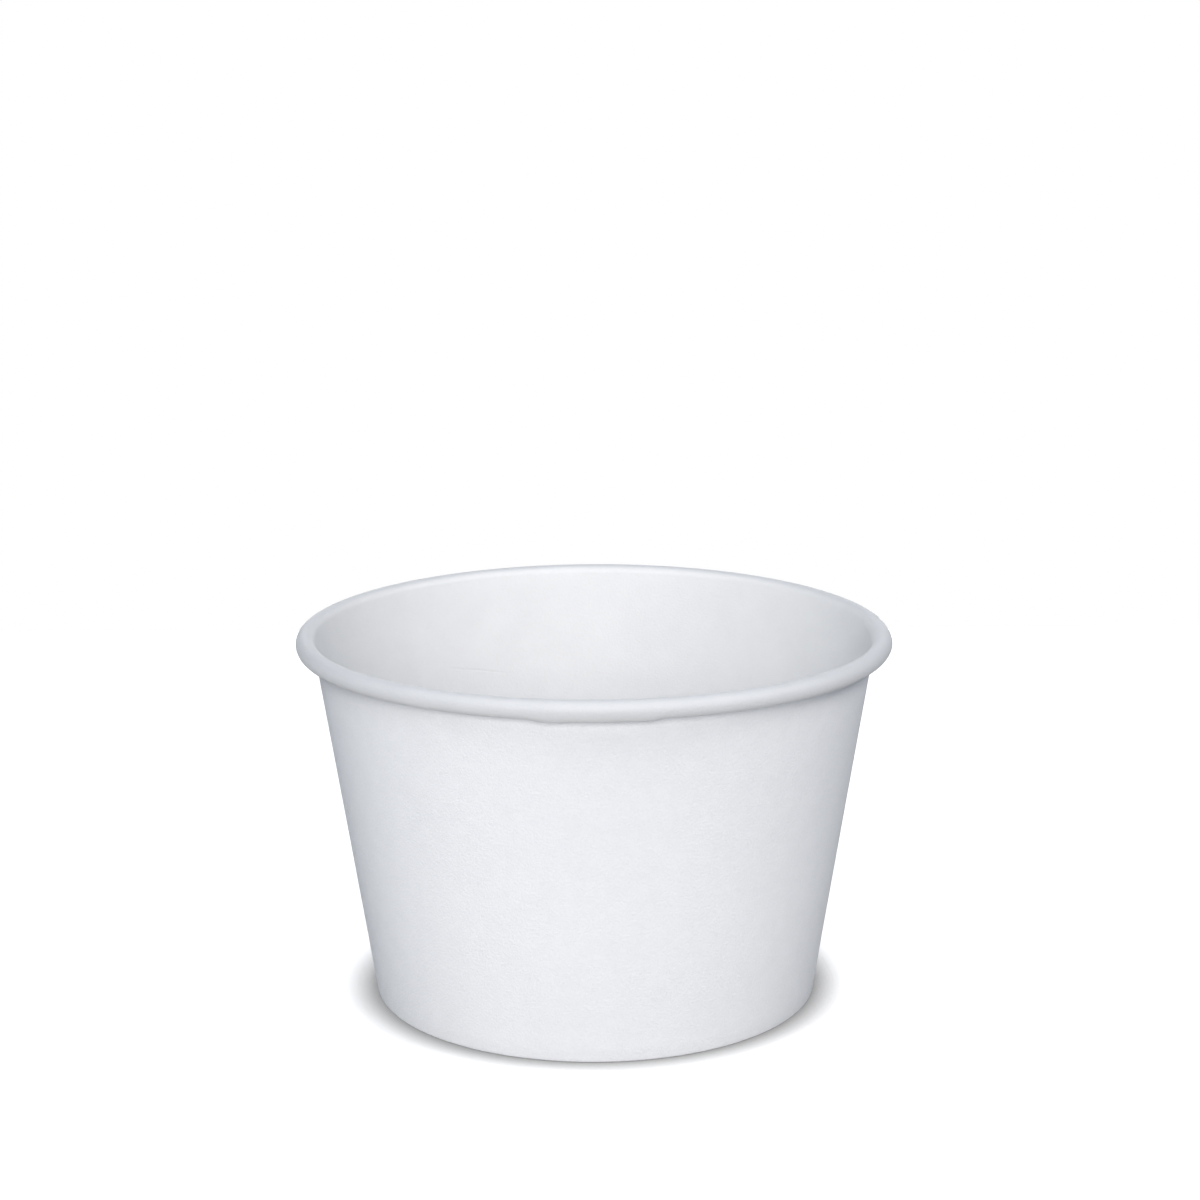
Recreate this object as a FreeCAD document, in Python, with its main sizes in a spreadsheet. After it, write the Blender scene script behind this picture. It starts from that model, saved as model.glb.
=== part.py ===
import FreeCAD, Part
import math
import os
import Sketcher

# Paper sundae cup, empty and open. Two pieces of paperboard that are sealed together:
# the side wall, with its rolled rim, its side seam and its hem, and the bottom disc, whose turned-down
# skirt is trapped between the wall and the hem. Lengths are in millimetres and angles in degrees.
# The cup stands on the fold of its hem. The origin is at the centre of that ring, +Z runs up the axis,
# the front of the cup faces -Y, and the side seam is at its right, near +X.

V = FreeCAD.Vector
doc = FreeCAD.newDocument("sundae_cup")

# Driving dimensions
DIMENSIONS = [
    ("rim_diameter", 96.0),
    ("roll_diameter", 3.1),
    ("cup_height", 61.0),
    ("base_diameter", 72.8),
    ("board_thickness", 0.38),
    ("coil_clearance", 0.06),
    ("tuck_rise", 0.45),
    ("hem_height", 6.2),
    ("fold_radius", 0.42),
    ("floor_level", 7.6),
    ("skirt_end_level", 0.75),
    ("disc_bend_radius", 0.62),
    ("seal_gap", 0.03),
    ("seam_start_angle", -6.0),
    ("seam_lap_angle", 14.0),
    ("seam_layer", 0.34),
    ("seam_tuck_angle", 35.0),
    ("seam_lower_level", 8.4),
    ("cut_edge_depth", 0.12),
    ("cut_edge_angle", 0.4),
    ("cut_edge_lower_level", 1.2),
    ("cut_edge_upper_gap", 1.0),
]
sheet = doc.addObject("Spreadsheet::Sheet", "Dims")
for number, (alias, value) in enumerate(DIMENSIONS, start=1):
    sheet.set("A%d" % number, alias)
    sheet.set("B%d" % number, str(value))
    sheet.setAlias("B%d" % number, alias)

# The wall's lean follows from the rim, the base and the height, because the wall runs tangent to the roll.
DERIVED = [
    ("roll_centre_out", "=(rim_diameter - roll_diameter) / 2"),
    ("roll_centre_up", "=cup_height - roll_diameter / 2"),
    ("wall_run_out", "=roll_centre_out - base_diameter / 2"),
    ("wall_lean", "=acos((roll_diameter / 2 - board_thickness) / hypot(wall_run_out; roll_centre_up))"
                  " - atan(roll_centre_up / wall_run_out)"),
]
for number, (alias, formula) in enumerate(DERIVED, start=len(DIMENSIONS) + 1):
    sheet.set("A%d" % number, alias)
    sheet.setAlias("B%d" % number, alias)
    sheet.set("B%d" % number, formula)
doc.recompute()


def size(alias):
    value = sheet.get(alias)
    return float(getattr(value, "Value", value))


LEAN = math.radians(size("wall_lean"))
ALONG = V(math.sin(LEAN), math.cos(LEAN), 0)
INWARD = V(-math.cos(LEAN), math.sin(LEAN), 0)
BOARD = size("board_thickness")
ROLL_CENTRE = V(size("roll_centre_out"), size("roll_centre_up"), 0)
BASE_EDGE = V(size("base_diameter") / 2, 0, 0)


# Sketch helpers. A place in a sketch is an element and one of its named points.
POINTS = {"start": 1, "end": 2, "centre": 3}
START = POINTS["start"]
END = POINTS["end"]
CENTRE = POINTS["centre"]
AXES = {"level": -1, "upright": -2}
LEVEL_AXIS = AXES["level"]
UPRIGHT_AXIS = AXES["upright"]


def new_body(name):
    body = doc.addObject("PartDesign::Body", name)
    body.Label = name
    return body


def upright_sketch(body, name):
    sketch = body.newObject("Sketcher::SketchObject", name)
    plane = [item for item in body.Origin.OriginFeatures if item.Role == "XZ_Plane"][0]
    sketch.AttachmentSupport = [(plane, "")]
    sketch.MapMode = "FlatFace"
    return sketch


def arc(centre, radius, first, last):
    circle = Part.Circle(centre, V(0, 0, 1), radius)
    return Part.ArcOfCircle(circle, first, last)


def join(sketch, pairs, kind):
    for first, second in pairs:
        sketch.addConstraint(Sketcher.Constraint(kind, first[0], first[1], second[0], second[1]))


def drive(sketch, name, formula, *constraint):
    index = sketch.addConstraint(Sketcher.Constraint(*constraint))
    sketch.renameConstraint(index, name)
    sketch.setExpression("Constraints." + name, formula)


def turn(body, sketch, name, angle_formula=None, kind="PartDesign::Revolution"):
    feature = body.newObject(kind, name)
    feature.Profile = sketch
    feature.ReferenceAxis = (sketch, ["V_Axis"])
    feature.Angle = 360.0
    if angle_formula:
        feature.setExpression("Angle", angle_formula)
    sketch.Visibility = False
    return feature


def on_wall_line(inset, level):
    """Point at a level on the line that lies an inset inside the wall's outer face."""
    foot = BASE_EDGE + INWARD * inset
    return foot + ALONG * ((level - foot.y) / ALONG.y)


# Side wall: one strip of board in section, from the tucked end of the roll down to the top of the hem
def wall_section(body):
    sketch = upright_sketch(body, "wall_section")
    roll = size("roll_diameter") / 2
    tail = roll - BOARD - size("coil_clearance")
    tail_centre = ROLL_CENTRE - V(0, roll - tail, 0)
    fold = size("fold_radius")
    hem_inset = 2 * BOARD + 2 * size("seal_gap") + BOARD
    outer_fold = on_wall_line(fold, fold)
    inner_fold = on_wall_line(hem_inset - fold, fold)
    hem_top = on_wall_line(hem_inset, size("hem_height"))
    meet = math.pi - LEAN
    tuck = math.pi - math.asin(size("tuck_rise") / tail)
    down = -math.pi / 2

    def spoke(centre, radius, angle):
        return centre + V(math.cos(angle), math.sin(angle), 0) * radius

    shapes = [
        Part.LineSegment(outer_fold - INWARD * fold, ROLL_CENTRE + INWARD * (roll - BOARD)),
        arc(ROLL_CENTRE, roll - BOARD, down, meet),
        arc(tail_centre, tail - BOARD, tuck, down + 2 * math.pi),
        Part.LineSegment(spoke(tail_centre, tail - BOARD, tuck), spoke(tail_centre, tail, tuck)),
        arc(tail_centre, tail, tuck, down + 2 * math.pi),
        arc(ROLL_CENTRE, roll, down, meet),
        Part.LineSegment(ROLL_CENTRE + INWARD * roll, outer_fold - INWARD * (fold - BOARD)),
        arc(outer_fold, fold - BOARD, down, -LEAN),
        Part.LineSegment(outer_fold + V(0, BOARD - fold, 0), inner_fold + V(0, BOARD - fold, 0)),
        arc(inner_fold, fold - BOARD, meet, down + 2 * math.pi),
        Part.LineSegment(inner_fold + INWARD * (fold - BOARD), hem_top - INWARD * BOARD),
        Part.LineSegment(hem_top - INWARD * BOARD, hem_top),
        Part.LineSegment(hem_top, inner_fold + INWARD * fold),
        arc(inner_fold, fold, meet, down + 2 * math.pi),
        Part.LineSegment(inner_fold - V(0, fold, 0), outer_fold - V(0, fold, 0)),
        arc(outer_fold, fold, down, -LEAN),
    ]
    sketch.addGeometry(shapes, False)
    (outside, coil_in, tail_in, tuck_end, tail_out, coil_out, inside, fold_out_in, flat_in, fold_in_in,
     hem_in, hem_end, hem_out, fold_in, flat, fold_out) = range(16)
    foot = sketch.addGeometry(Part.Point(BASE_EDGE), True)

    join(sketch, [
        ((fold_out, END), (outside, START)),
        ((outside, END), (coil_in, END)),
        ((coil_in, START), (tail_in, END)),
        ((tail_out, END), (coil_out, START)),
        ((coil_out, END), (inside, START)),
        ((inside, END), (fold_out_in, END)),
        ((fold_out_in, START), (flat_in, START)),
        ((flat_in, END), (fold_in_in, END)),
        ((fold_in_in, START), (hem_in, START)),
        ((hem_out, END), (fold_in, START)),
        ((fold_in, END), (flat, START)),
        ((flat, END), (fold_out, START)),
    ], "Tangent")
    join(sketch, [
        ((tail_in, START), (tuck_end, START)),
        ((tuck_end, END), (tail_out, START)),
        ((hem_in, END), (hem_end, START)),
        ((hem_end, END), (hem_out, START)),
        ((coil_in, CENTRE), (coil_out, CENTRE)),
        ((tail_in, CENTRE), (tail_out, CENTRE)),
        ((fold_out, CENTRE), (fold_out_in, CENTRE)),
        ((fold_in, CENTRE), (fold_in_in, CENTRE)),
    ], "Coincident")
    sketch.addConstraint(Sketcher.Constraint("Horizontal", flat))
    sketch.addConstraint(Sketcher.Constraint("PointOnObject", flat, START, LEVEL_AXIS))
    sketch.addConstraint(Sketcher.Constraint("Vertical", coil_in, CENTRE, coil_in, START))
    sketch.addConstraint(Sketcher.Constraint("PointOnObject", tail_in, CENTRE, tuck_end))
    sketch.addConstraint(Sketcher.Constraint("Parallel", hem_in, inside))
    sketch.addConstraint(Sketcher.Constraint("Parallel", hem_out, hem_in))
    sketch.addConstraint(Sketcher.Constraint("Perpendicular", hem_end, hem_in))
    sketch.addConstraint(Sketcher.Constraint("PointOnObject", foot, START, LEVEL_AXIS))
    sketch.addConstraint(Sketcher.Constraint("PointOnObject", foot, START, outside))

    def value(formula_value, name, formula, *head):
        drive(sketch, name, formula, *(head + (formula_value,)))

    value(BASE_EDGE.x, "base_edge", "Dims.base_diameter / 2", "DistanceX", -1, 1, foot, START)
    value(ROLL_CENTRE.x, "roll_out", "Dims.roll_centre_out", "DistanceX", -1, 1, coil_out, CENTRE)
    value(ROLL_CENTRE.y, "roll_up", "Dims.roll_centre_up", "DistanceY", -1, 1, coil_out, CENTRE)
    value(roll, "roll_face", "Dims.roll_diameter / 2", "Radius", coil_out)
    value(roll - BOARD, "roll_hollow", "Dims.roll_diameter / 2 - Dims.board_thickness", "Radius", coil_in)
    value(tail - BOARD, "tail_hollow",
          "Dims.roll_diameter / 2 - 2 * Dims.board_thickness - Dims.coil_clearance", "Radius", tail_in)
    value(size("tuck_rise"), "tuck_rise", "Dims.tuck_rise", "DistanceY", tail_out, CENTRE, tuck_end, END)
    for name, index in (("fold_outer", fold_out), ("fold_inner", fold_in)):
        value(fold, name, "Dims.fold_radius", "Radius", index)
    for name, index in (("fold_outer_hollow", fold_out_in), ("fold_inner_hollow", fold_in_in)):
        value(fold - BOARD, name, "Dims.fold_radius - Dims.board_thickness", "Radius", index)
    value(BOARD + 2 * size("seal_gap"), "skirt_room", "Dims.board_thickness + 2 * Dims.seal_gap",
          "Distance", hem_in, END, inside)
    value(hem_top.y, "hem_height", "Dims.hem_height", "DistanceY", -1, 1, hem_end, END)
    return sketch


# Side seam: the blank's inner end laps the outer end. It thickens the wall inward and makes the roll fuller.
def seam_section(body):
    sketch = upright_sketch(body, "seam_section")
    layer = size("seam_layer")
    roll = size("roll_diameter") / 2
    centre = ROLL_CENTRE - V(layer / 2, layer / 2, 0)
    full = roll + layer / 2
    core = full - layer
    low = size("seam_lower_level")
    lean = LEAN
    meet = math.pi - lean
    tuck = math.radians(size("seam_tuck_angle"))
    stop = math.pi + tuck
    inner_top = centre + INWARD * full
    outer_top = centre + INWARD * core
    inner_low = inner_top - ALONG * ((inner_top.y - low) / ALONG.y)
    outer_low = inner_low - INWARD * layer

    def spoke(radius, angle):
        return centre + V(math.cos(angle), math.sin(angle), 0) * radius

    shapes = [
        Part.LineSegment(inner_low, inner_top),
        arc(centre, full, stop - 2 * math.pi, meet),
        Part.LineSegment(spoke(full, stop), spoke(core, stop)),
        arc(centre, core, stop - 2 * math.pi, meet),
        Part.LineSegment(outer_top, outer_low),
        Part.LineSegment(outer_low, inner_low),
    ]
    sketch.addGeometry(shapes, False)
    face, full_arc, tuck_end, core_arc, back, low_end = range(6)
    join(sketch, [((face, END), (full_arc, END)), ((core_arc, END), (back, START))], "Tangent")
    join(sketch, [
        ((full_arc, START), (tuck_end, START)),
        ((tuck_end, END), (core_arc, START)),
        ((back, END), (low_end, START)),
        ((low_end, END), (face, START)),
        ((full_arc, CENTRE), (core_arc, CENTRE)),
    ], "Coincident")
    sketch.addConstraint(Sketcher.Constraint("Parallel", face, back))
    sketch.addConstraint(Sketcher.Constraint("Perpendicular", low_end, face))
    sketch.addConstraint(Sketcher.Constraint("PointOnObject", full_arc, CENTRE, tuck_end))
    drive(sketch, "centre_out", "Dims.roll_centre_out - Dims.seam_layer / 2",
          "DistanceX", -1, 1, full_arc, CENTRE, centre.x)
    drive(sketch, "centre_up", "Dims.roll_centre_up - Dims.seam_layer / 2",
          "DistanceY", -1, 1, full_arc, CENTRE, centre.y)
    drive(sketch, "full_roll", "(Dims.roll_diameter + Dims.seam_layer) / 2", "Radius", full_arc, full)
    drive(sketch, "core_roll", "(Dims.roll_diameter - Dims.seam_layer) / 2", "Radius", core_arc, core)
    drive(sketch, "lean", "90 deg - Dims.wall_lean", "Angle", face, math.pi / 2 - lean)
    drive(sketch, "low_level", "Dims.seam_lower_level", "DistanceY", -1, 1, face, START, low)
    drive(sketch, "stop", "Dims.seam_tuck_angle * 1 deg", "Angle", tuck_end, tuck)
    return sketch


# Cut edge of the outer end of the blank: a fine open line down the outside of the wall
def cut_edge_section(body):
    sketch = upright_sketch(body, "cut_edge_section")
    depth = size("cut_edge_depth")
    low = size("cut_edge_lower_level")
    high = size("cup_height") - size("roll_diameter") - size("cut_edge_upper_gap")
    corners = [
        on_wall_line(depth, low),
        on_wall_line(depth, high),
        on_wall_line(-BOARD, high),
        on_wall_line(-BOARD, low),
    ]
    shapes = [Part.LineSegment(corners[i], corners[(i + 1) % 4]) for i in range(4)]
    sketch.addGeometry(shapes, False)
    join(sketch, [((i, END), ((i + 1) % 4, START)) for i in range(4)], "Coincident")
    foot = sketch.addGeometry(Part.Point(on_wall_line(depth, 0)), True)
    sketch.addConstraint(Sketcher.Constraint("PointOnObject", foot, START, LEVEL_AXIS))
    sketch.addConstraint(Sketcher.Constraint("PointOnObject", foot, START, 0))
    sketch.addConstraint(Sketcher.Constraint("Parallel", 2, 0))
    sketch.addConstraint(Sketcher.Constraint("Horizontal", 1))
    sketch.addConstraint(Sketcher.Constraint("Horizontal", 3))
    drive(sketch, "foot_out", "Dims.base_diameter / 2 - Dims.cut_edge_depth / cos(Dims.wall_lean)",
          "DistanceX", -1, 1, foot, START, on_wall_line(depth, 0).x)
    drive(sketch, "lean", "90 deg - Dims.wall_lean", "Angle", 0, math.pi / 2 - LEAN)
    drive(sketch, "low_level", "Dims.cut_edge_lower_level", "DistanceY", -1, 1, 0, START, low)
    drive(sketch, "high_level", "Dims.cup_height - Dims.roll_diameter - Dims.cut_edge_upper_gap", "DistanceY", -1, 1, 0, END, high)
    drive(sketch, "width", "Dims.cut_edge_depth + Dims.board_thickness", "Distance", 2, START, 0, depth + BOARD)
    return sketch


# Bottom disc: a flat floor whose edge turns down as a skirt along the wall
def disc_section(body):
    sketch = upright_sketch(body, "disc_section")
    level = size("floor_level")
    bend = size("disc_bend_radius")
    inset = BOARD + size("seal_gap")
    low = size("skirt_end_level")
    centre = on_wall_line(inset + bend, level - bend)
    end_out = on_wall_line(inset, low)
    end_in = end_out + INWARD * BOARD
    lean = LEAN
    shapes = [
        Part.LineSegment(V(0, level, 0), V(centre.x, level, 0)),
        arc(centre, bend, -lean, math.pi / 2),
        Part.LineSegment(centre - INWARD * bend, end_out),
        Part.LineSegment(end_out, end_in),
        Part.LineSegment(end_in, centre - INWARD * (bend - BOARD)),
        arc(centre, bend - BOARD, -lean, math.pi / 2),
        Part.LineSegment(V(centre.x, level - BOARD, 0), V(0, level - BOARD, 0)),
        Part.LineSegment(V(0, level - BOARD, 0), V(0, level, 0)),
    ]
    sketch.addGeometry(shapes, False)
    top, bend_out, skirt_out, skirt_end, skirt_in, bend_in, under, axis_line = range(8)
    foot = sketch.addGeometry(Part.Point(on_wall_line(inset, 0)), True)
    join(sketch, [
        ((top, END), (bend_out, END)),
        ((bend_out, START), (skirt_out, START)),
        ((skirt_in, END), (bend_in, START)),
        ((bend_in, END), (under, START)),
    ], "Tangent")
    join(sketch, [
        ((skirt_out, END), (skirt_end, START)),
        ((skirt_end, END), (skirt_in, START)),
        ((under, END), (axis_line, START)),
        ((axis_line, END), (top, START)),
        ((bend_out, CENTRE), (bend_in, CENTRE)),
    ], "Coincident")
    sketch.addConstraint(Sketcher.Constraint("Horizontal", top))
    sketch.addConstraint(Sketcher.Constraint("Horizontal", under))
    sketch.addConstraint(Sketcher.Constraint("PointOnObject", top, START, UPRIGHT_AXIS))
    sketch.addConstraint(Sketcher.Constraint("PointOnObject", under, END, UPRIGHT_AXIS))
    sketch.addConstraint(Sketcher.Constraint("Parallel", skirt_in, skirt_out))
    sketch.addConstraint(Sketcher.Constraint("Perpendicular", skirt_end, skirt_out))
    sketch.addConstraint(Sketcher.Constraint("PointOnObject", foot, START, LEVEL_AXIS))
    sketch.addConstraint(Sketcher.Constraint("PointOnObject", foot, START, skirt_out))
    drive(sketch, "floor_level", "Dims.floor_level", "DistanceY", -1, 1, top, START, level)
    drive(sketch, "bend", "Dims.disc_bend_radius", "Radius", bend_out, bend)
    drive(sketch, "bend_hollow", "Dims.disc_bend_radius - Dims.board_thickness", "Radius", bend_in, bend - BOARD)
    drive(sketch, "foot_out", "Dims.base_diameter / 2 - (Dims.board_thickness + Dims.seal_gap) / cos(Dims.wall_lean)",
          "DistanceX", -1, 1, foot, START, on_wall_line(inset, 0).x)
    drive(sketch, "lean", "90 deg - Dims.wall_lean", "Angle", skirt_in, math.pi / 2 - lean)
    drive(sketch, "skirt_end_level", "Dims.skirt_end_level", "DistanceY", -1, 1, skirt_out, END, low)
    return sketch


def swing(sketch, formula):
    """Turns an upright sketch about the cup's axis."""
    sketch.AttachmentOffset = FreeCAD.Placement(V(0, 0, 0), FreeCAD.Rotation(V(0, 1, 0), size("seam_start_angle")))
    sketch.setExpression("AttachmentOffset.Rotation.Angle", formula)


wall = new_body("side_wall")
wall_outline = wall_section(wall)
turn(wall, wall_outline, "wall_turn")
seam_outline = seam_section(wall)
swing(seam_outline, "Dims.seam_start_angle")
turn(wall, seam_outline, "seam_turn", "Dims.seam_lap_angle")
cut_outline = cut_edge_section(wall)
swing(cut_outline, "Dims.seam_start_angle")
turn(wall, cut_outline, "cut_edge_turn", "Dims.cut_edge_angle", "PartDesign::Groove")

disc = new_body("bottom_disc")
disc_outline = disc_section(disc)
turn(disc, disc_outline, "disc_turn")

for piece in (wall, disc):
    piece.Placement = FreeCAD.Placement(V(0, 0, 0), FreeCAD.Rotation())
doc.recompute()

# Checks before anything is written
for item in doc.Objects:
    trouble = [word for word in item.State if word in ("Invalid", "Error")]
    if trouble:
        raise RuntimeError("%s is %s" % (item.Name, trouble))
for outline in (wall_outline, seam_outline, cut_outline, disc_outline):
    if outline.solve() != 0:
        raise RuntimeError("%s does not solve" % outline.Name)
for piece in (wall, disc):
    if piece.Shape.isNull() or not piece.Shape.isValid() or len(piece.Shape.Solids) != 1:
        raise RuntimeError("%s is not one valid solid" % piece.Label)

os.makedirs("parts", exist_ok=True)
for piece in (wall, disc):
    piece.Shape.exportStep("parts/%s.step" % piece.Label)
    box = piece.Shape.BoundBox
    print(piece.Label, "volume %.1f" % piece.Shape.Volume,
          "box %.3f %.3f %.3f to %.3f %.3f %.3f" % (box.XMin, box.YMin, box.ZMin, box.XMax, box.YMax, box.ZMax))
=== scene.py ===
# %% [markdown]
# # A paper sundae cup
# An empty white paper cup of the kind that holds a scoop of ice cream. It is made of two pieces of
# board: a side wall that is wrapped into a cone, lapped, rolled over at the rim and folded in at the
# foot, and a bottom disc that the fold traps. The CAD model gives the sizes and the place of both.
# This script makes the wall again as one long sheet, so that its lap and cut edges are real, and
# finishes both pieces as coated and bare board.

# %% Load the frame
import math

import bpy
from mathutils import Matrix, Vector


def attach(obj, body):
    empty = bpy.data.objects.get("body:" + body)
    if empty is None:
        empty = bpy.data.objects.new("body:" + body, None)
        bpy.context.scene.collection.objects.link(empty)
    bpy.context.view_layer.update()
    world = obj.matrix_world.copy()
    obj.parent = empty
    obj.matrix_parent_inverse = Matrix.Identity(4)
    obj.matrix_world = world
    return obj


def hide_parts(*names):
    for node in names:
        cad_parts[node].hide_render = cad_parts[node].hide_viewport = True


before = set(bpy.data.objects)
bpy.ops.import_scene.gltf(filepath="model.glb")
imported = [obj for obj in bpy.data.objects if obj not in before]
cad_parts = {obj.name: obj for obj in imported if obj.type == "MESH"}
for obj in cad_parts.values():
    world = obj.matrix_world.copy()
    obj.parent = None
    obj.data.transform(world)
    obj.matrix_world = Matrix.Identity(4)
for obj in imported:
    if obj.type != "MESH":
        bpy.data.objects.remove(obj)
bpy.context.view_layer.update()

# %% [markdown]
# ## Sizes
# The sizes are the same driving dimensions as in the CAD source. They could be measured on the solids,
# but the sheet also needs sizes that a solid hardly shows, such as the clearance inside the roll. The
# outer face of the wall runs tangent to the hollow of the rolled rim, and its lean follows from that.

# %% Driving dimensions
MM = 0.001
RIM_RADIUS = 48.0 * MM
ROLL_RADIUS = 1.55 * MM
HEIGHT = 61.0 * MM
BASE_RADIUS = 36.4 * MM
BOARD = 0.38 * MM
COIL_CLEARANCE = 0.06 * MM
TUCK_RISE = 0.45 * MM
HEM_HEIGHT = 6.2 * MM
FLOOR_LEVEL = 7.6 * MM
FOLD_RADIUS = 0.42 * MM
SEAL_GAP = 0.03 * MM
SEAM_START = math.radians(-6.0)
SEAM_LAP = math.radians(14.0)

ROLL_OUT = RIM_RADIUS - ROLL_RADIUS
ROLL_UP = HEIGHT - ROLL_RADIUS
RUN_OUT = ROLL_OUT - BASE_RADIUS
LEAN = math.acos((ROLL_RADIUS - BOARD) / math.hypot(RUN_OUT, ROLL_UP)) - math.atan(ROLL_UP / RUN_OUT)
INWARD = Vector((-math.cos(LEAN), math.sin(LEAN)))
ALONG = Vector((math.sin(LEAN), math.cos(LEAN)))
print("lean of the wall in degrees", round(math.degrees(LEAN), 2))

# %% [markdown]
# ## The board in section
# Cut through the cup and the wall is one strip of board. It starts tucked inside the roll, goes round
# the roll, runs down the wall, turns under at the foot and stops at the top of the hem. Each station
# along the strip is a point on the middle of the board and the direction of its inner face, which is
# the coated face. That face lines the cup and shows on the outside of the roll. A drawn outline that
# is spun round would be shorter, but a list of stations lets each point move where the sheet laps.

# %% Section of the wall
def sweep(centre, radius, first, last, steps, facing=1.0):
    """Stations along a bend. facing is 1 where the coated face is on the outside of the bend."""
    stations = []
    for step in range(steps + 1):
        angle = first + (last - first) * step / steps
        ray = Vector((math.cos(angle), math.sin(angle)))
        stations.append((centre + ray * radius, ray * facing))
    return stations


def straight(start, end, facing, steps):
    """Stations along a flat stretch, without its first point."""
    return [(start.lerp(end, step / steps), facing.copy()) for step in range(1, steps + 1)]


def on_wall(inset, level):
    """Point at a level on the line that lies an inset inside the wall's outer face."""
    foot = Vector((BASE_RADIUS, 0.0)) + INWARD * inset
    return foot + ALONG * ((level - foot.y) / ALONG.y)


TAIL_STEPS = 10
ROLL_STEPS = 36
WALL_STEPS = 24
FOLD_STEPS = 4
HEM_STEPS = 3


def wall_stations():
    """All stations from the tail of the roll to the top of the hem."""
    half = BOARD / 2
    roll = Vector((ROLL_OUT, ROLL_UP))
    tail_radius = ROLL_RADIUS - BOARD - COIL_CLEARANCE
    tail = roll - Vector((0.0, ROLL_RADIUS - tail_radius))
    tuck = math.pi - math.asin(TUCK_RISE / tail_radius)
    down = 1.5 * math.pi
    meet = 3.0 * math.pi - LEAN
    hem_inset = 3 * BOARD + 2 * SEAL_GAP
    outer_fold = on_wall(FOLD_RADIUS, FOLD_RADIUS)
    inner_fold = on_wall(hem_inset - FOLD_RADIUS, FOLD_RADIUS)
    bend = FOLD_RADIUS - half

    stations = sweep(tail, tail_radius - half, tuck, down, TAIL_STEPS)
    stations += sweep(roll, ROLL_RADIUS - half, down, meet, ROLL_STEPS)[1:]
    stations += straight(stations[-1][0], outer_fold - INWARD * bend, INWARD, WALL_STEPS)
    stations += sweep(outer_fold, bend, -LEAN, -math.pi / 2, FOLD_STEPS, -1.0)[1:]
    stations += sweep(inner_fold, bend, -math.pi / 2, -math.pi - LEAN, FOLD_STEPS, -1.0)
    stations += straight(stations[-1][0], on_wall(hem_inset - half, HEM_HEIGHT), -INWARD, HEM_STEPS)
    return stations


STATIONS = wall_stations()
print("stations along the board", len(STATIONS))

# %% [markdown]
# ## The lap and the small faults
# The blank is wrapped once round and its ends overlap by 14 degrees. The outer end stays flush with the
# outside of the cup, and the inner end steps in by one board. Where both lie in the roll, the roll is
# fuller. A hand or a machine also leaves small faults: the rim in the photograph droops a little at its
# sides, and for a short way at the front the roll's lower edge hangs lower. All of it could be sculpted
# on the finished mesh, but as functions of the angle round the cup the faults keep their real sizes.

# %% Shape of the sheet around the cup
WRAP = 2 * math.pi + SEAM_LAP
STEPS_ROUND = 480
RAMP = math.radians(6.0)
END_RAMP = math.radians(2.0)

# The two layers of the lap keep a fiftieth of the board's thickness between them.
LAP_STEP = 1.02 * BOARD

# From the first level of a zone to the second, the lap changes over between the plain wall and the
# roll or the foot.
ROLL_ZONE = (HEIGHT - 4 * ROLL_RADIUS, HEIGHT - 2 * ROLL_RADIUS)
FOOT_ZONE = (FLOOR_LEVEL + BOARD, FLOOR_LEVEL + 4 * MM)

RIM_DROOP = {"left": 0.26 * MM, "right": 0.36 * MM}
FRONT_BULGE = 0.30 * MM
FRONT_BULGE_FROM = math.radians(-99.5)
FRONT_BULGE_TO = math.radians(-79.4)
FRONT_BULGE_RISE = math.radians(3.5)
FRONT_BULGE_FALL = math.radians(1.5)
FRONT_LUMP = 0.12 * MM
FRONT_LUMP_AT = math.radians(-98.0)
FRONT_LUMP_WIDTH = math.radians(2.0)


def ease(value, start, end):
    """Smooth rise from 0 at start to 1 at end."""
    share = min(max((value - start) / (end - start), 0.0), 1.0)
    return share * share * (3 - 2 * share)


def lap_depth(turned):
    """How far in the sheet lies, from 0 on the outer end to 1 on the inner end."""
    return ease(turned, 2 * math.pi - RAMP, 2 * math.pi)


def fullness(angle):
    """1 in the lap, falling to 0 on both sides of it."""
    away = (angle - SEAM_START + math.pi) % (2 * math.pi) - math.pi
    return ease(away, -RAMP, 0.0) * (1 - ease(away, SEAM_LAP, SEAM_LAP + END_RAMP))


def front_bulge(angle):
    """How far the roll's lower edge hangs below its true place at the front."""
    away = (angle + math.pi) % (2 * math.pi) - math.pi
    rise = ease(away, FRONT_BULGE_FROM - FRONT_BULGE_RISE, FRONT_BULGE_FROM)
    fall = 1 - ease(away, FRONT_BULGE_TO, FRONT_BULGE_TO + FRONT_BULGE_FALL)
    lump = math.exp(-((away - FRONT_LUMP_AT) / FRONT_LUMP_WIDTH) ** 2)
    return FRONT_BULGE * rise * fall + FRONT_LUMP * lump


def droop(angle):
    """How far the rim hangs down, most at the two sides."""
    side = RIM_DROOP["right"] if math.cos(angle) > 0 else RIM_DROOP["left"]
    return side * math.cos(angle) ** 2


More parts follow.
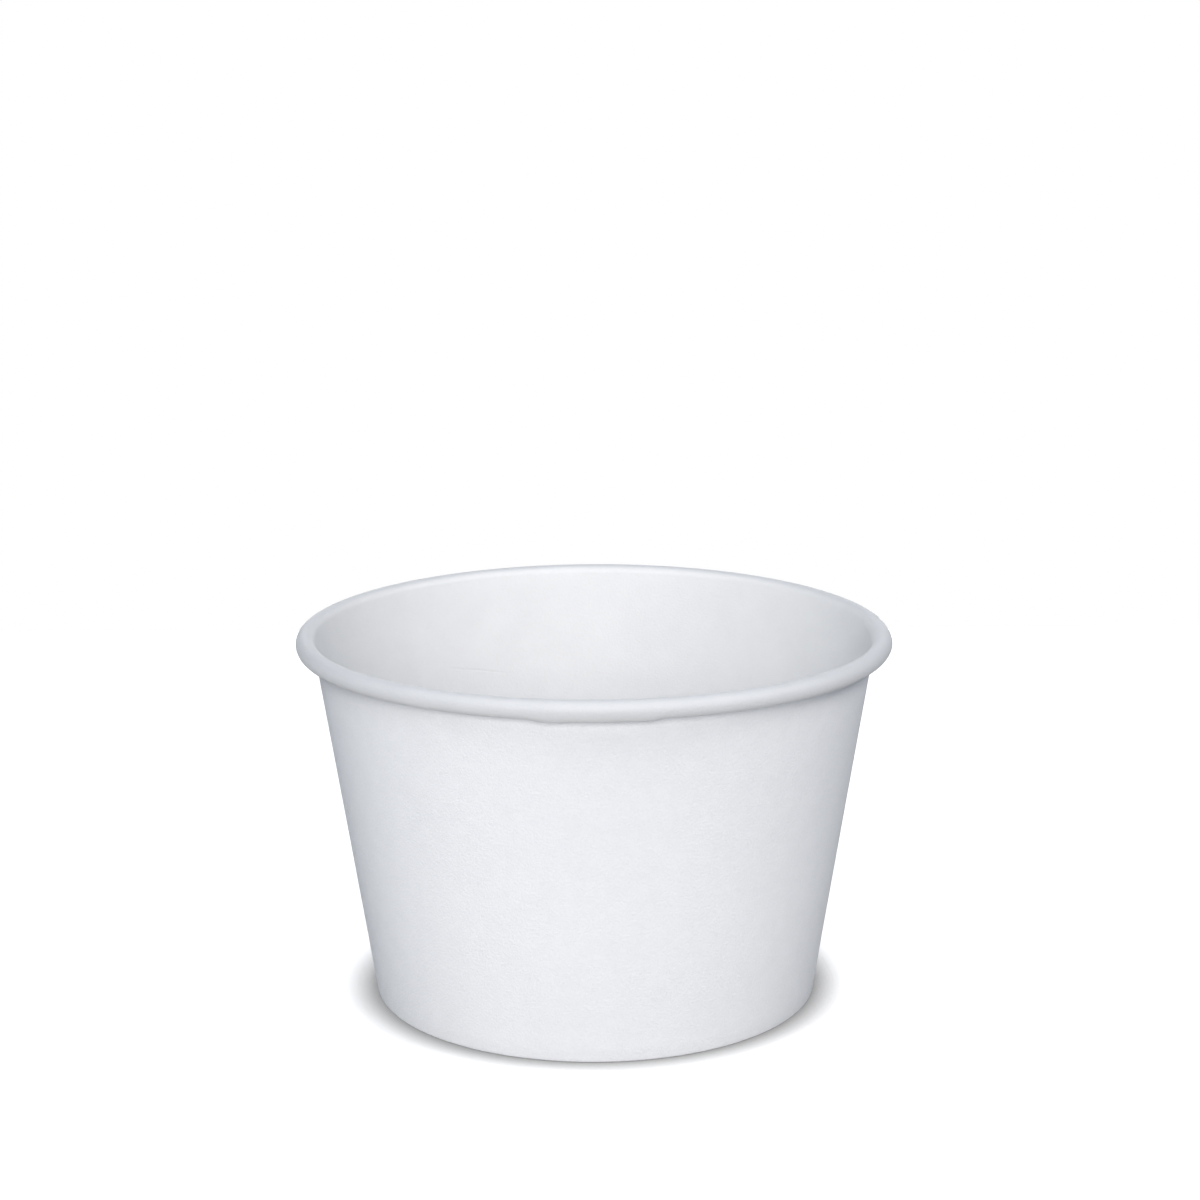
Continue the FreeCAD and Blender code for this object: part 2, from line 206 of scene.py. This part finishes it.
def place(station, face, turned):
    """Point of one face of the board: face is 1 for the coated face and -1 for the bare one."""
    middle, facing = station
    angle = SEAM_START + turned
    inner = lap_depth(turned)
    full = fullness(angle)
    high = ease(middle.y, *ROLL_ZONE)
    low = 1 - ease(middle.y, *FOOT_ZONE)

    # At the foot both layers of the lap are pressed to half their thickness and share the room of one.
    thickness = BOARD * (1 - 0.5 * low * full)
    stepped_in = inner * LAP_STEP
    pressed = (inner - 0.5) * BOARD / 2 * full
    depth = stepped_in + (pressed - stepped_in) * low + face * thickness / 2
    point = middle + facing * depth

    # The roll shrinks by the same amount, so the lapped roll keeps the rim's height and width.
    share = 1 / (1 + math.cos(LEAN) - math.sin(LEAN))
    shift = share * LAP_STEP * full * high
    point -= facing * shift * (math.cos(LEAN) - math.sin(LEAN))
    point -= Vector((shift, shift))

    # The front fault pulls only the lower half of the roll down. The droop dies out down the wall.
    if point.y < ROLL_UP and high > 0.5:
        point.y -= (ROLL_UP - point.y) / ROLL_RADIUS * front_bulge(angle)
    point.y -= droop(angle) * (point.y / HEIGHT) ** 3
    return Vector((point.x * math.cos(angle), point.x * math.sin(angle), max(point.y, 0.0)))


print("the sheet goes round by degrees", round(math.degrees(WRAP), 1))

# %% [markdown]
# ## The side wall as one sheet
# The sheet is a grid of stations along the board by steps around the cup, with a coated face, a bare
# face and four cut edges. A spun solid would be simpler, but its lap would be no more than a line. Each
# face keeps its own finish, because the coating is only on one side and the cut edges show the bare
# core of the board.

# %% Build the side wall
BARE_FACE, COATED_FACE, CUT_FACE = range(3)
SHARP_ANGLE = math.radians(60)
# The painted shade on top of the roll lies between these ways of facing, outwards and upwards.
TURNED_OUT = (-0.95, -0.3)
TURNED_UP = (-0.9, 0.1)


def painted_shade_share_on_roll(facing):
    """Share of the painted shade on the roll: 1 on top of the roll, 0 on the wall and under the roll."""
    return ease(facing.x, *TURNED_OUT) * ease(facing.y, *TURNED_UP)


def mark_painted_roll_shade(mesh):
    """Stores the share of painted shade on each point of the sheet, for the painted shade of the roll."""
    one_step = [painted_shade_share_on_roll(facing) for middle, facing in STATIONS]
    roll_shade_paint = mesh.attributes.new("roll_shade_paint", "FLOAT", "POINT")
    roll_shade_paint.data.foreach_set("value", one_step * 2 * (STEPS_ROUND + 1))


def build_wall():
    """The whole sheet as one mesh: its two faces, its long edges and its two ends."""
    rows = len(STATIONS)
    vertices = []
    for step in range(STEPS_ROUND + 1):
        turned = WRAP * step / STEPS_ROUND
        vertices += [place(station, 1.0, turned) for station in STATIONS]
        vertices += [place(station, -1.0, turned) for station in STATIONS]

    def at(step, row, side):
        return step * 2 * rows + side * rows + row

    faces = []
    finishes = []
    for step in range(STEPS_ROUND):
        after = step + 1
        for row in range(rows - 1):
            below = row + 1
            faces.append((at(step, row, 0), at(after, row, 0), at(after, below, 0), at(step, below, 0)))
            faces.append((at(step, row, 1), at(step, below, 1), at(after, below, 1), at(after, row, 1)))
            finishes += [COATED_FACE, BARE_FACE]
        for row in (0, rows - 1):
            edge = [at(step, row, 0), at(step, row, 1), at(after, row, 1), at(after, row, 0)]
            faces.append(tuple(edge if row == 0 else reversed(edge)))
            finishes.append(CUT_FACE)
    for step in (0, STEPS_ROUND):
        for row in range(rows - 1):
            edge = [at(step, row, 0), at(step, row + 1, 0), at(step, row + 1, 1), at(step, row, 1)]
            faces.append(tuple(edge if step == 0 else reversed(edge)))
            finishes.append(CUT_FACE)

    mesh = bpy.data.meshes.new("side_wall_sheet")
    mesh.from_pydata(vertices, [], faces)
    mesh.polygons.foreach_set("material_index", finishes)
    mesh.polygons.foreach_set("use_smooth", [finish != CUT_FACE for finish in finishes])
    mark_painted_roll_shade(mesh)
    mesh.set_sharp_from_angle(angle=SHARP_ANGLE)
    mesh.validate()
    piece = bpy.data.objects.new("side_wall_sheet", mesh)
    bpy.context.scene.collection.objects.link(piece)
    return piece


wall = build_wall()
print("side wall faces", len(wall.data.polygons))

# %% [markdown]
# ## Tools for the finishes
# A finish could be put together by hand in the shader editor. Small helpers that add, join and mix
# nodes keep it readable here. The shared effects are node groups with named sockets: one gives the
# mottled fibres of the board, the other a thin line at a chosen place on the wall.

# %% Node helpers
def add(tree, kind, **settings):
    """Adds a node. Settings name its properties, or its inputs with _ for spaces."""
    made = tree.nodes.new(kind)
    for name, value in settings.items():
        if hasattr(made, name):
            setattr(made, name, value)
        else:
            made.inputs[name.replace("_", " ")].default_value = value
    return made


def math_node(tree, operation, first, second=None):
    """A maths node. Its inputs are numbers or sockets."""
    made = tree.nodes.new("ShaderNodeMath")
    made.operation = operation
    for socket, value in zip(made.inputs, (first, second)):
        if value is None:
            continue
        if isinstance(value, (int, float)):
            socket.default_value = value
        else:
            tree.links.new(value, socket)
    return made.outputs[0]


def mix_colours(tree, factor, first, second, blend="MIX"):
    """Mixes two colours by a socket. Each colour is a socket or three numbers."""
    made = add(tree, "ShaderNodeMix", data_type="RGBA", blend_type=blend)
    tree.links.new(factor, made.inputs["Factor"])
    colour_sockets = [socket for socket in made.inputs if socket.type == "RGBA"]
    for socket, colour in zip(colour_sockets, (first, second)):
        if isinstance(colour, tuple):
            socket.default_value = colour + (1.0,)
        else:
            tree.links.new(colour, socket)
    return next(socket for socket in made.outputs if socket.type == "RGBA")


def new_group(name, inputs, outputs):
    """A shader group with float inputs, apart from the first, which is a vector."""
    group = bpy.data.node_groups.new(name, "ShaderNodeTree")
    for position, (label, value) in enumerate(inputs):
        kind = "NodeSocketVector" if position == 0 else "NodeSocketFloat"
        socket = group.interface.new_socket(label, in_out="INPUT", socket_type=kind)
        if position > 0:
            socket.default_value = value
    for label in outputs:
        group.interface.new_socket(label, in_out="OUTPUT", socket_type="NodeSocketFloat")
    return group, group.nodes.new("NodeGroupInput"), group.nodes.new("NodeGroupOutput")


# %% [markdown]
# ### Fibres
# Bare board has a faint cloudiness a few millimetres wide and a finer mottle from its fibres. Both change
# the colour by one or two parts in a hundred. The mottle also stands proud as a fine relief, which does
# most of the work where the light comes from the side. A picture of board would repeat and blur close
# up, and a noise in the cup's own space does neither.

# %% Fibre group
def fibre_group():
    """Tone runs from dark to light over the board. Height is the relief of its fibres."""
    group, given, result = new_group(
        "board_fibres",
        [("Place", None), ("Cloud Size", 320.0), ("Fibre Size", 2600.0), ("Cloud Share", 0.35)],
        ["Tone", "Height"],
    )
    cloud = add(group, "ShaderNodeTexNoise", Detail=3.0, Roughness=0.6)
    fine = add(group, "ShaderNodeTexNoise", Detail=4.0, Roughness=0.62)
    for texture, label in ((cloud, "Cloud Size"), (fine, "Fibre Size")):
        group.links.new(given.outputs["Place"], texture.inputs["Vector"])
        group.links.new(given.outputs[label], texture.inputs["Scale"])
    broad = math_node(group, "MULTIPLY", cloud.outputs[0], given.outputs["Cloud Share"])
    rest = math_node(group, "SUBTRACT", 1.0, given.outputs["Cloud Share"])
    close = math_node(group, "MULTIPLY", fine.outputs[0], rest)
    group.links.new(math_node(group, "ADD", broad, close), result.inputs["Tone"])
    group.links.new(fine.outputs[0], result.inputs["Height"])
    return group


FIBRES = fibre_group()
print("fibre group nodes", len(FIBRES.nodes))

# %% [markdown]
# ### A crease on the wall
# The photograph shows one faint slanting crease inside the cup, left of the back. It is far too shallow
# to be worth any mesh, so it is a mask for the relief of the finish. The group measures how far a point
# lies from a line that is given by an angle, a level and a slope, and fades it at both ends.

# %% Crease group
def crease_group():
    """Mask is 1 on the middle of the line. It falls to 0 at the line's width and at both its ends."""
    group, given, result = new_group(
        "wall_crease",
        [
            ("Place", None), ("Angle", 0.0), ("Level", 0.0),
            ("Slope", 0.0), ("Half Length", 0.1), ("Width", 0.0003),
        ],
        ["Mask"],
    )
    split = add(group, "ShaderNodeSeparateXYZ")
    group.links.new(given.outputs["Place"], split.inputs[0])
    angle = math_node(group, "ARCTAN2", split.outputs["Y"], split.outputs["X"])
    along = math_node(group, "SUBTRACT", angle, given.outputs["Angle"])
    climb = math_node(group, "MULTIPLY", along, given.outputs["Slope"])
    line = math_node(group, "ADD", given.outputs["Level"], climb)
    off = math_node(group, "ABSOLUTE", math_node(group, "SUBTRACT", split.outputs["Z"], line))
    near = math_node(group, "SUBTRACT", 1.0, math_node(group, "DIVIDE", off, given.outputs["Width"]))
    reach = math_node(group, "DIVIDE", math_node(group, "ABSOLUTE", along), given.outputs["Half Length"])
    fade = math_node(group, "SUBTRACT", 1.0, math_node(group, "MULTIPLY", reach, reach))
    near = math_node(group, "MAXIMUM", near, 0.0)
    fade = math_node(group, "MAXIMUM", fade, 0.0)
    group.links.new(math_node(group, "MULTIPLY", near, fade), result.inputs["Mask"])
    return group


CREASE = crease_group()
print("crease group nodes", len(CREASE.nodes))

# %% [markdown]
# ## Bare board
# The outside of the cup, the hem and the underside of the disc are bare. The board is a cool bluish
# white, matte, and finely mottled. Its colour moves between two close whites with the fibres, and so
# does its roughness, because one flat white would look like plaster.

# %% Bare board
TONE_RANGE = (0.35, 0.65)
BARE_DARK = (0.801, 0.818, 0.844)
BARE_LIGHT = (0.845, 0.862, 0.888)
BARE_ROUGHNESS = 0.74
BARE_ROUGHNESS_RISE = 0.12
BARE_SHINE = 0.15
BARE_RELIEF = 0.10 * MM


def shift_tone(tree, tone, dark, light):
    """Two close colours mixed by a tone."""
    ramp = add(tree, "ShaderNodeValToRGB")
    for element, position, colour in zip(ramp.color_ramp.elements, TONE_RANGE, (dark, light)):
        element.position = position
        element.color = colour + (1.0,)
    tree.links.new(tone, ramp.inputs[0])
    return ramp.outputs[0]


def new_material(name):
    """A material with its surface node, and the socket that gives the place of a point on the cup."""
    material = bpy.data.materials.new(name)
    material.use_nodes = True
    tree = material.node_tree
    surface = tree.nodes["Principled BSDF"]
    place_node = add(tree, "ShaderNodeTexCoord")
    return material, tree, surface, place_node.outputs["Object"]


def use_group(tree, group, place_socket, **settings):
    """Places a shared group in a material. Settings name its inputs, with _ for spaces."""
    made = add(tree, "ShaderNodeGroup", node_tree=group)
    tree.links.new(place_socket, made.inputs["Place"])
    for name, value in settings.items():
        made.inputs[name.replace("_", " ")].default_value = value
    return made


def roughen(tree, surface, tone, least, rise):
    """A roughness that rises from its least value with the tone."""
    rough = math_node(tree, "ADD", math_node(tree, "MULTIPLY", tone, rise), least)
    tree.links.new(rough, surface.inputs["Roughness"])


def bump(tree, surface, height, distance):
    """A relief in the finish. Distance is its depth in metres where the height is 1."""
    made = add(tree, "ShaderNodeBump", Strength=1.0, Distance=distance)
    tree.links.new(height, made.inputs["Height"])
    tree.links.new(made.outputs[0], surface.inputs["Normal"])


def bare_board():
    material, tree, surface, here = new_material("bare_board")
    fibres = use_group(tree, FIBRES, here)
    colour = shift_tone(tree, fibres.outputs["Tone"], BARE_DARK, BARE_LIGHT)
    tree.links.new(colour, surface.inputs["Base Color"])
    roughen(tree, surface, fibres.outputs["Tone"], BARE_ROUGHNESS, BARE_ROUGHNESS_RISE)
    surface.inputs["Specular IOR Level"].default_value = BARE_SHINE
    bump(tree, surface, fibres.outputs["Height"], BARE_RELIEF)
    return material


BARE = bare_board()
print("made", BARE.name)

# %% [markdown]
# ## Coated board
# The inside and the roll carry a thin food-safe coating. It fills the fibres, so this face is smoother,
# a little darker and more neutral, and has a soft sheen. A painted shade makes the top of the roll
# greyer, as if less light fell there. It follows a value stored on the sheet, so it goes round the rim
# wherever the roll does. The crease of the photograph is a shallow dent in this finish.

# %% Coated board
COATED_DARK = (0.744, 0.752, 0.762)
COATED_LIGHT = (0.770, 0.778, 0.788)
COATED_CLOUD_SIZE = 150.0
COATED_CLOUD_SHARE = 0.7
COATED_ROUGHNESS = 0.50
COATED_ROUGHNESS_RISE = 0.14
COATED_SHINE = 0.22
COATED_RELIEF = 0.07 * MM
# Painted shade: the coated colour is multiplied by this grey on top of the roll, as if less light fell
# there.
ROLL_PAINTED_SHADE = (0.81, 0.82, 0.84)
CREASE_ANGLE = math.radians(90.0 + 29.0)
CREASE_LEVEL = 44.0 * MM
CREASE_RISE = 8.2 * MM
CREASE_HALF_LENGTH = math.radians(9.5)
CREASE_WIDTH = 0.26 * MM
CREASE_DENT = -0.75


def coated_board():
    material, tree, surface, here = new_material("coated_board")
    fibres = use_group(tree, FIBRES, here, Cloud_Size=COATED_CLOUD_SIZE, Cloud_Share=COATED_CLOUD_SHARE)
    colour = shift_tone(tree, fibres.outputs["Tone"], COATED_DARK, COATED_LIGHT)
    roll_shade_paint = add(tree, "ShaderNodeAttribute", attribute_name="roll_shade_paint")
    # Painted shade: the top of the roll is made greyer by the stored share.
    roll_painted_shade_colour = mix_colours(tree, roll_shade_paint.outputs["Fac"], colour, ROLL_PAINTED_SHADE, blend="MULTIPLY")
    tree.links.new(roll_painted_shade_colour, surface.inputs["Base Color"])
    roughen(tree, surface, fibres.outputs["Tone"], COATED_ROUGHNESS, COATED_ROUGHNESS_RISE)
    surface.inputs["Specular IOR Level"].default_value = COATED_SHINE
    crease = use_group(
        tree, CREASE, here, Angle=CREASE_ANGLE, Level=CREASE_LEVEL, Slope=CREASE_RISE,
        Half_Length=CREASE_HALF_LENGTH, Width=CREASE_WIDTH)
    dent = math_node(tree, "MULTIPLY", crease.outputs["Mask"], CREASE_DENT)
    bump(tree, surface, math_node(tree, "ADD", fibres.outputs["Height"], dent), COATED_RELIEF)
    return material


COATED = coated_board()
print("made", COATED.name)

# %% [markdown]
# ## Cut edges
# A cut through the board shows its core: loose fibres, a shade darker and warmer than either face. The
# cut faces are few and lie apart, so they take a finish of their own rather than a mask.

# %% Cut edge
CORE_DARK = (0.70, 0.69, 0.66)
CORE_LIGHT = (0.80, 0.79, 0.76)
CORE_FIBRE_SIZE = 5200.0
CORE_CLOUD_SHARE = 0.2
CORE_ROUGHNESS = 0.9
CORE_RELIEF = 0.06 * MM


def cut_edge():
    material, tree, surface, here = new_material("board_cut_edge")
    fibres = use_group(tree, FIBRES, here, Fibre_Size=CORE_FIBRE_SIZE, Cloud_Share=CORE_CLOUD_SHARE)
    colour = shift_tone(tree, fibres.outputs["Tone"], CORE_DARK, CORE_LIGHT)
    tree.links.new(colour, surface.inputs["Base Color"])
    surface.inputs["Roughness"].default_value = CORE_ROUGHNESS
    bump(tree, surface, fibres.outputs["Height"], CORE_RELIEF)
    return material


CUT_EDGE = cut_edge()
print("made", CUT_EDGE.name)

# %% [markdown]
# ### Finishes of the side wall
# The sheet takes the three finishes in the order in which its faces count them. It rides on the cup's
# only body, and it stands in for the side wall of the CAD model.

# %% Finish the side wall
for finish in (BARE, COATED, CUT_EDGE):
    wall.data.materials.append(finish)
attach(wall, "root")
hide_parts("side_wall")
print("finishes", [finish.name for finish in wall.data.materials])

# %% [markdown]
# ## The bottom disc
# The CAD solid is already true to the real disc, so it stays and only gets its finish: coated above,
# where the ice cream lies, and bare below and on the skirt. One material serves it all. It tells the
# two sides apart by the way each point faces.

# %% Finish of the bottom disc
FACES_UP = 0.3
DISC_BARE_ROUGHNESS = 0.80
DISC_COATED_ROUGHNESS = 0.57
DISC_RELIEF = 0.04 * MM
DISC_COATED_RELIEF_SHARE = 0.25


def disc_board():
    material, tree, surface, here = new_material("disc_board")
    fibres = use_group(tree, FIBRES, here)
    shape = add(tree, "ShaderNodeNewGeometry")
    split = add(tree, "ShaderNodeSeparateXYZ")
    tree.links.new(shape.outputs["Normal"], split.inputs[0])
    above = math_node(tree, "GREATER_THAN", split.outputs["Z"], FACES_UP)
    bare = shift_tone(tree, fibres.outputs["Tone"], BARE_DARK, BARE_LIGHT)
    coated = shift_tone(tree, fibres.outputs["Tone"], COATED_DARK, COATED_LIGHT)
    tree.links.new(mix_colours(tree, above, bare, coated), surface.inputs["Base Color"])
    smoother = math_node(tree, "MULTIPLY", above, DISC_BARE_ROUGHNESS - DISC_COATED_ROUGHNESS)
    rough = math_node(tree, "SUBTRACT", DISC_BARE_ROUGHNESS, smoother)
    tree.links.new(rough, surface.inputs["Roughness"])
    filled = math_node(tree, "MULTIPLY", above, 1.0 - DISC_COATED_RELIEF_SHARE)
    relief = math_node(tree, "SUBTRACT", 1.0, filled)
    bump(tree, surface, math_node(tree, "MULTIPLY", fibres.outputs["Height"], relief), DISC_RELIEF)
    return material


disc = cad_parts["bottom_disc"]
DISC = disc_board()
for slot in disc.material_slots:
    slot.material = DISC
print("bottom disc slots", len(disc.material_slots))

# %% [markdown]
# ## Floor and light
# The cup stands on a white floor before a white ground. The floor's own light is seen only by the
# camera and by reflections, so it bleaches the lit floor to white and throws nothing onto the cup.
# Stronger lamps would bleach it too, but they would bleach the cup with it. Round the foot both the
# paint and the glow fade by how far the cup closes off the sky, so that the soft contact shadow of the
# photograph stays.

# %% Floor
FLOOR_SIZE = 0.5
FLOOR_WHITE = (0.95, 0.95, 0.95)
FLOOR_BOUNCE = (0.35, 0.35, 0.35)
FLOOR_GLOW = 0.66
CONTACT_REACH = 8.5 * MM
CONTACT_OPEN = 0.45
CONTACT_DARK = 0.24
CONTACT_SAMPLES = 16


def contact_shade(tree):
    """A share of the floor's white: least right beside the foot, and 1 from CONTACT_REACH away."""
    open_share = add(
        tree, "ShaderNodeAmbientOcclusion", samples=CONTACT_SAMPLES, Distance=CONTACT_REACH)
    shade = add(tree, "ShaderNodeMapRange")
    shade.inputs["From Min"].default_value = CONTACT_OPEN
    shade.inputs["To Min"].default_value = CONTACT_DARK
    tree.links.new(open_share.outputs["AO"], shade.inputs["Value"])
    return shade.outputs["Result"]


def seen_or_mirrored(tree, path):
    """1 for what the camera sees, straight, mirrored or through glass, and 0 for light on the cup."""
    seen = math_node(tree, "MAXIMUM", path.outputs["Is Camera Ray"], path.outputs["Is Glossy Ray"])
    return math_node(tree, "MAXIMUM", seen, path.outputs["Is Transmission Ray"])


def floor_material():
    """Matte paint, whiter to the camera than to the cup, and a glow that throws no light on the cup."""
    material = bpy.data.materials.new("white_floor")
    material.use_nodes = True
    tree = material.node_tree
    tree.nodes.remove(tree.nodes["Principled BSDF"])
    matte = add(tree, "ShaderNodeBsdfDiffuse")
    glow = add(tree, "ShaderNodeEmission")
    path = add(tree, "ShaderNodeLightPath")
    to_camera = path.outputs["Is Camera Ray"]
    contact = contact_shade(tree)
    paint = mix_colours(tree, to_camera, FLOOR_BOUNCE, FLOOR_WHITE)
    shaded = mix_colours(tree, to_camera, paint, contact, blend="MULTIPLY")
    tree.links.new(shaded, matte.inputs["Color"])
    glow_level = math_node(tree, "MULTIPLY", seen_or_mirrored(tree, path), FLOOR_GLOW)
    level = math_node(tree, "MULTIPLY", glow_level, contact)
    tree.links.new(level, glow.inputs["Strength"])
    both = add(tree, "ShaderNodeAddShader")
    tree.links.new(matte.outputs[0], both.inputs[0])
    tree.links.new(glow.outputs[0], both.inputs[1])
    tree.links.new(both.outputs[0], tree.nodes["Material Output"].inputs["Surface"])
    return material


floor_mesh = bpy.data.meshes.new("floor")
corner = FLOOR_SIZE / 2
corners = [(-corner, -corner, 0), (corner, -corner, 0), (corner, corner, 0), (-corner, corner, 0)]
floor_mesh.from_pydata(corners, [], [(0, 1, 2, 3)])
floor = bpy.data.objects.new("floor", floor_mesh)
bpy.context.scene.collection.objects.link(floor)
floor.data.materials.append(floor_material())
print("floor", FLOOR_SIZE, "m wide")

# %% [markdown]
# ### Lamps and sky
# Five soft lamps stand round the cup, as softboxes would. The front lamp and the wide one beside it do
# most of the work: they stand low and a little to the left, so the middle of the wall is the brightest
# part, both sides fall off, and the roll throws hardly any shadow on the wall. The lamps high on the left
# and right light the inside over the rim, and a weak one lights the back. The sky is white only where it
# is seen or mirrored. It adds a little bluish light to the shades, as in the photograph. A picture of
# a studio as the sky would be quicker, but lamps can be moved one by one until each patch agrees.

# %% Sky and lamps
SKY_SHADE = (0.02, 0.05, 0.10)
SKY_WHITE = (1.0, 1.0, 1.0)
LAMP_DISTANCE = 1.3

# Each lamp has a name, its azimuth and elevation in degrees, its side in metres, its power in watts
# and its tint.
LAMPS = [
    ("front_lamp", -4.0, 22.0, 0.45, 6.1, (1.0, 0.915, 0.895)),
    ("wide_lamp", -8.0, 14.0, 0.95, 9.5, (0.985, 0.985, 0.955)),
    ("left_lamp", -60.0, 50.0, 0.6, 5.6, (0.94, 0.965, 0.96)),
    ("right_lamp", 75.0, 45.0, 0.55, 7.8, (1.0, 0.985, 0.96)),
    ("rear_lamp", 180.0, 8.0, 0.95, 5.0, (0.955, 0.97, 0.96)),
]


def build_sky():
    """White where it is seen or mirrored, and a faint blue as a light on the cup."""
    world = bpy.data.worlds.new("studio")
    bpy.context.scene.world = world
    world.use_nodes = True
    tree = world.node_tree
    sky = tree.nodes["Background"]
    path = add(tree, "ShaderNodeLightPath")
    tint = mix_colours(tree, seen_or_mirrored(tree, path), SKY_SHADE, SKY_WHITE)
    tree.links.new(tint, sky.inputs["Color"])


def soft_lamp(name, azimuth, elevation, side, power, tint):
    """A square soft lamp that faces the cup. Azimuth is in degrees to the right of the front."""
    around = math.radians(azimuth)
    above = math.radians(elevation)
    flat = math.cos(above)
    away = Vector((math.sin(around) * flat, -math.cos(around) * flat, math.sin(above)))
    data = bpy.data.lights.new(name, "AREA")
    data.shape = "SQUARE"
    data.size = side
    data.energy = power
    data.color = tint
    lamp = bpy.data.objects.new(name, data)
    bpy.context.scene.collection.objects.link(lamp)
    lamp.location = Vector((0.0, 0.0, HEIGHT / 2)) + away * LAMP_DISTANCE
    lamp.rotation_euler = (-away).to_track_quat("-Z", "Y").to_euler()
    lamp.visible_camera = False


build_sky()
for lamp_values in LAMPS:
    soft_lamp(*lamp_values)
print("sky shade", SKY_SHADE, "and lamps", [values[0] for values in LAMPS])

# %% [markdown]
# ## Camera
# The camera was fitted to the outline of the cup in the photograph: it stands about 44 cm from the
# middle of the cup, 17 degrees above it. The cup sits low in the picture, so the frame is shifted up.
# The lens is set by its focal length in pixels of the picture, which is what the outline tells.

# %% Camera
PICTURE = 1200
FOCAL_PIXELS = 2679.6
AXIS_PIXEL = (594.72, 790.62)
DISTANCE = 9.2026 * RIM_RADIUS
ELEVATION = 0.30217
PITCH = 0.29665
TILT = -0.00439
SENSOR_WIDTH = 36.0
NEAREST = 10 * MM

eye = Vector((0.0, -DISTANCE * math.cos(ELEVATION), HEIGHT / 2 + DISTANCE * math.sin(ELEVATION)))
look = Vector((0.0, math.cos(PITCH), -math.sin(PITCH)))
right = Vector((1.0, 0.0, 0.0))
up = right.cross(look)
tilted_right = right * math.cos(TILT) + up * math.sin(TILT)
tilted_up = up * math.cos(TILT) - right * math.sin(TILT)

camera_data = bpy.data.cameras.new("camera")
camera_data.sensor_width = SENSOR_WIDTH
camera_data.lens = SENSOR_WIDTH * FOCAL_PIXELS / PICTURE
camera_data.shift_x = (PICTURE / 2 - AXIS_PIXEL[0]) / PICTURE
camera_data.shift_y = (AXIS_PIXEL[1] - PICTURE / 2) / PICTURE
camera_data.clip_start = NEAREST
camera_data.dof.use_dof = False
camera = bpy.data.objects.new("camera", camera_data)
bpy.context.scene.collection.objects.link(camera)
camera.matrix_world = Matrix((
    (tilted_right.x, tilted_up.x, -look.x, eye.x),
    (tilted_right.y, tilted_up.y, -look.y, eye.y),
    (tilted_right.z, tilted_up.z, -look.z, eye.z),
    (0.0, 0.0, 0.0, 1.0),
))
bpy.context.scene.camera = camera
bpy.context.scene.view_settings.view_transform = "Standard"
print("camera at", [round(value, 4) for value in eye])
